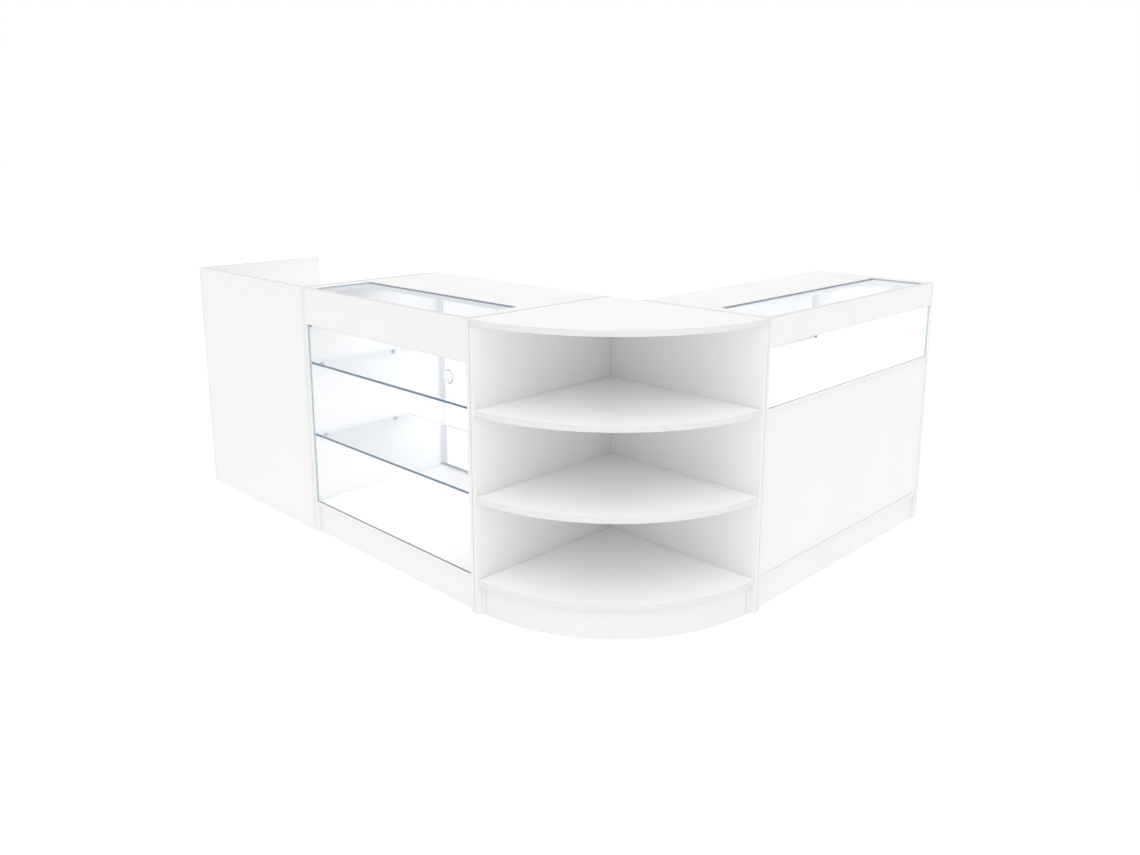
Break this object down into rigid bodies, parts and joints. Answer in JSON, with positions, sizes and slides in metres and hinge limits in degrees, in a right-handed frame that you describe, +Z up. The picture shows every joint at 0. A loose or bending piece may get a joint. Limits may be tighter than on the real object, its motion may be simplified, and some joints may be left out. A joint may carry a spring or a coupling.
{
  "type": "checkout counter",
  "caption": "L-shaped shop counter: sunk till unit, glass-fronted display, open quarter-round corner shelves and a display with a shallow window.",
  "frame": {"origin": "middle of the whole footprint, on the floor", "axes": "+X from the till unit towards the corner unit, +Y from the till wing's customer side along the right wing, away from the corner, +Z up"},
  "size_m": [2.304, 1.662, 0.9],
  "materials": {
    "board": "white melamine facing with matching edging",
    "drawer_board": "white melamine facing",
    "glass": "polished, ground edges",
    "door_glass": "polished, ground edges",
    "channel": "extruded, satin",
    "pin": "bright zinc",
    "clip": "dark moulded",
    "pull": "white moulded",
    "runner": "white powder coat",
    "steel": "satin"
  },
  "bodies": {
    "counter": {"corner_deck": "board", "corner_left_wall": "board", "corner_lower_shelf": "board", "corner_plinth": "board", "corner_right_wall": "board", "corner_top": "board", "corner_upper_shelf": "board", "glass_clips": "clip", "glass_display_deck": "board", "glass_display_door_lower_channel": "channel", "glass_display_door_upper_channel": "channel", "glass_display_front_glass": "glass", "glass_display_front_plinth": "board", "glass_display_header": "board", "glass_display_left_end_panel": "board", "glass_display_lower_shelf": "glass", "glass_display_rear_plinth": "board", "glass_display_right_end_panel": "board", "glass_display_top_board": "board", "glass_display_top_glass": "glass", "glass_display_upper_shelf": "glass", "glass_top_battens": "board", "joining_screws": "steel", "shelf_pins": "pin", "till_deck": "board", "till_drawer_rails": "runner", "till_front_panel": "board", "till_left_end_panel": "board", "till_plinth": "board", "till_right_end_panel": "board", "till_shelf": "board", "till_worktop": "board", "window_display_deck": "board", "window_display_door_lower_channel": "channel", "window_display_door_upper_channel": "channel", "window_display_floor": "board", "window_display_front_glass": "glass", "window_display_front_plinth": "board", "window_display_header": "board", "window_display_left_end_panel": "board", "window_display_lower_front": "board", "window_display_rear_plinth": "board", "window_display_right_end_panel": "board", "window_display_storage_shelf": "board", "window_display_top_board": "board", "window_display_top_glass": "glass"},
    "glass display left door": {"glass_display_left_door": "door_glass", "glass_display_left_door_pull": "pull"},
    "glass display right door": {"glass_display_right_door": "door_glass", "glass_display_right_door_pull": "pull"},
    "window display left door": {"window_display_left_door": "door_glass", "window_display_left_door_pull": "pull"},
    "window display right door": {"window_display_right_door": "door_glass", "window_display_right_door_pull": "pull"},
    "till drawer": {"till_drawer_front": "board", "till_drawer_sides": "drawer_board", "till_drawer_back": "drawer_board", "till_drawer_bottom": "drawer_board", "till_drawer_slides": "runner", "till_drawer_handle": "steel"}
  },
  "joints": [
    {"name": "glass display left door slide", "type": "slide", "parent": "counter", "child": "glass display left door", "axis": [1, 0, 0], "range_m": [0, 0.419]},
    {"name": "glass display right door slide", "type": "slide", "parent": "counter", "child": "glass display right door", "axis": [-1, 0, 0], "range_m": [0, 0.419]},
    {"name": "window display left door slide", "type": "slide", "parent": "counter", "child": "window display left door", "axis": [0, 1, 0], "range_m": [0, 0.499]},
    {"name": "window display right door slide", "type": "slide", "parent": "counter", "child": "window display right door", "axis": [0, -1, 0], "range_m": [0, 0.499]},
    {"name": "till drawer slide", "type": "slide", "parent": "counter", "child": "till drawer", "axis": [0, 1, 0], "range_m": [0, 0.32]}
  ]
}
